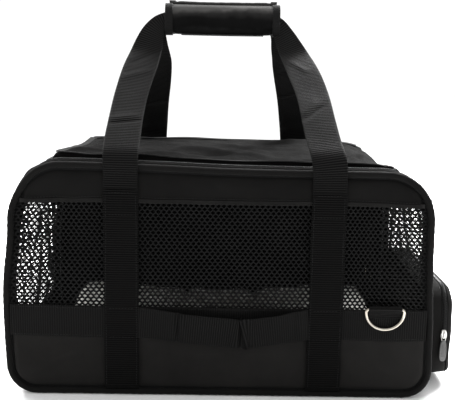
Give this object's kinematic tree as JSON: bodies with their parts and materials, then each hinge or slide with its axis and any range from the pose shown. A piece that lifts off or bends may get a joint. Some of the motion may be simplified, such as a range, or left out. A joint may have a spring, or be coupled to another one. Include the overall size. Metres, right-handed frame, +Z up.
{
  "type": "pet carrier bag",
  "caption": "Soft-sided pet carrier bag with net windows, zipped top flap and end door, end pocket, webbing handles joined by a padded grip, and strap rings.",
  "frame": {"origin": "centre of the flat underside that the bag rests on", "axes": "+X along the bag towards the pocket end, +Y from the net front to the rear, +Z up"},
  "size_m": [0.518, 0.3101, 0.44],
  "materials": {
    "fabric": "plain-weave polyester, matte",
    "piping": "fabric-covered cord",
    "webbing": "ribbed polypropylene webbing",
    "net": "open polyester net",
    "fleece": "short fleece pile",
    "board": "matte",
    "ring_steel": "nickel plated",
    "frame_wire": "spring steel",
    "zip_coil": "nylon coil",
    "grip_pad": "smooth padded fabric",
    "hook_tape": "hook and loop",
    "pull_rubber": "moulded, matte"
  },
  "bodies": {
    "shell": {"base_panel": "fabric", "base_board": "board", "floor_mat": "fleece", "front_lower_panel": "fabric", "front_mesh": "net", "front_upper_band": "fabric", "front_mesh_binding": "webbing", "front_band": "webbing", "front_strap_left": "webbing", "front_strap_right": "webbing", "seatbelt_loop": "webbing", "front_piping": "piping", "front_frame_wire": "frame_wire", "rear_panel": "fabric", "rear_band": "webbing", "rear_strap_left": "webbing", "rear_strap_right": "webbing", "rear_piping": "piping", "rear_frame_wire": "frame_wire", "top_frame": "fabric", "top_zip_coil": "zip_coil", "left_end_frame": "fabric", "door_zip_coil": "zip_coil", "right_end_lower_panel": "fabric", "right_end_mesh": "net", "pocket_gusset": "fabric", "pocket_zip_coil": "zip_coil", "d_ring_front_tab": "webbing", "d_ring_rear_tab": "webbing", "tether_tab": "webbing"},
    "top_flap": {"top_flap_panel": "fabric", "top_flap_zip_tape": "webbing"},
    "top_slider": {"top_zip_slider": "ring_steel"},
    "top_pull": {"top_zip_pull": "ring_steel"},
    "end_door": {"end_door_border": "fabric", "end_door_mesh": "net"},
    "door_slider": {"door_zip_slider": "ring_steel"},
    "door_pull": {"door_zip_pull": "pull_rubber"},
    "pocket_front": {"pocket_lid": "fabric"},
    "pocket_slider": {"pocket_zip_slider": "ring_steel"},
    "pocket_pull": {"pocket_zip_pull": "pull_rubber"},
    "front_handle": {"front_handle_strap": "webbing", "grip_pad": "grip_pad", "grip_hook_tape": "hook_tape"},
    "grip_flap": {"grip_wrap_flap": "grip_pad"},
    "rear_handle": {"rear_handle_strap": "webbing"},
    "front_ring": {"d_ring_front": "ring_steel"},
    "rear_ring": {"d_ring_rear": "ring_steel"},
    "tether": {"tether_strap": "webbing", "tether_hook": "ring_steel"}
  },
  "joints": [
    {"name": "top_flap_hinge", "type": "hinge", "parent": "shell", "child": "top_flap", "pos_m": [0.2022, 0, 0.2568], "axis": [0, 1, 0], "range_deg": [0, 115], "deforming": ["grip_pad", "grip_wrap_flap", "grip_hook_tape"]},
    {"name": "top_slider_slide", "type": "slide", "parent": "shell", "child": "top_slider", "axis": [0, 1, 0], "range_m": [-0.11, 0.085]},
    {"name": "top_pull_hinge", "type": "hinge", "parent": "top_slider", "child": "top_pull", "pos_m": [-0.1966, 0.0146, 0.2602], "axis": [1, 0, 0], "range_deg": [0, 110]},
    {"name": "end_door_hinge", "type": "hinge", "parent": "shell", "child": "end_door", "pos_m": [-0.2393, 0, 0.036], "axis": [0, -1, 0], "range_deg": [0, 100]},
    {"name": "door_slider_slide", "type": "slide", "parent": "shell", "child": "door_slider", "axis": [0, 0, 1], "range_m": [0, 0.115]},
    {"name": "door_pull_hinge", "type": "hinge", "parent": "door_slider", "child": "door_pull", "pos_m": [-0.2427, 0.1208, 0.0465], "axis": [0, 1, 0], "range_deg": [0, 100]},
    {"name": "pocket_front_hinge", "type": "hinge", "parent": "shell", "child": "pocket_front", "pos_m": [0.2566, 0, 0.0132], "axis": [0, 1, 0], "range_deg": [0, 40]},
    {"name": "pocket_slider_slide", "type": "slide", "parent": "shell", "child": "pocket_slider", "axis": [0, 0, 1], "range_m": [-0.02, 0.026]},
    {"name": "pocket_pull_hinge", "type": "hinge", "parent": "pocket_slider", "child": "pocket_pull", "pos_m": [0.2515, -0.1118, 0.0553], "axis": [-1, 0, 0], "range_deg": [0, 100]},
    {"name": "front_handle_swing", "type": "hinge", "parent": "shell", "child": "front_handle", "pos_m": [0, -0.148, 0.2323], "axis": [-1, 0, 0], "range_deg": [-180, 0], "deforming": ["front_handle_strap"]},
    {"name": "grip_flap_hinge", "type": "hinge", "parent": "front_handle", "child": "grip_flap", "pos_m": [-0.004, 0, 0.4402], "axis": [1, 0, 0], "range_deg": [0, 120]},
    {"name": "rear_handle_swing", "type": "hinge", "parent": "shell", "child": "rear_handle", "pos_m": [0, 0.148, 0.2323], "axis": [1, 0, 0], "range_deg": [-180, 0], "deforming": ["rear_handle_strap"]},
    {"name": "front_ring_swing", "type": "hinge", "parent": "shell", "child": "front_ring", "pos_m": [0.184, -0.1484, 0.103], "axis": [-1, 0, 0], "range_deg": [0, 150]},
    {"name": "rear_ring_swing", "type": "hinge", "parent": "shell", "child": "rear_ring", "pos_m": [-0.184, 0.1484, 0.103], "axis": [1, 0, 0], "range_deg": [0, 150]},
    {"name": "tether_swing", "type": "hinge", "parent": "shell", "child": "tether", "pos_m": [0.214, 0.1292, 0.1465], "axis": [-1, 0, 0], "range_deg": [0, 75]}
  ]
}
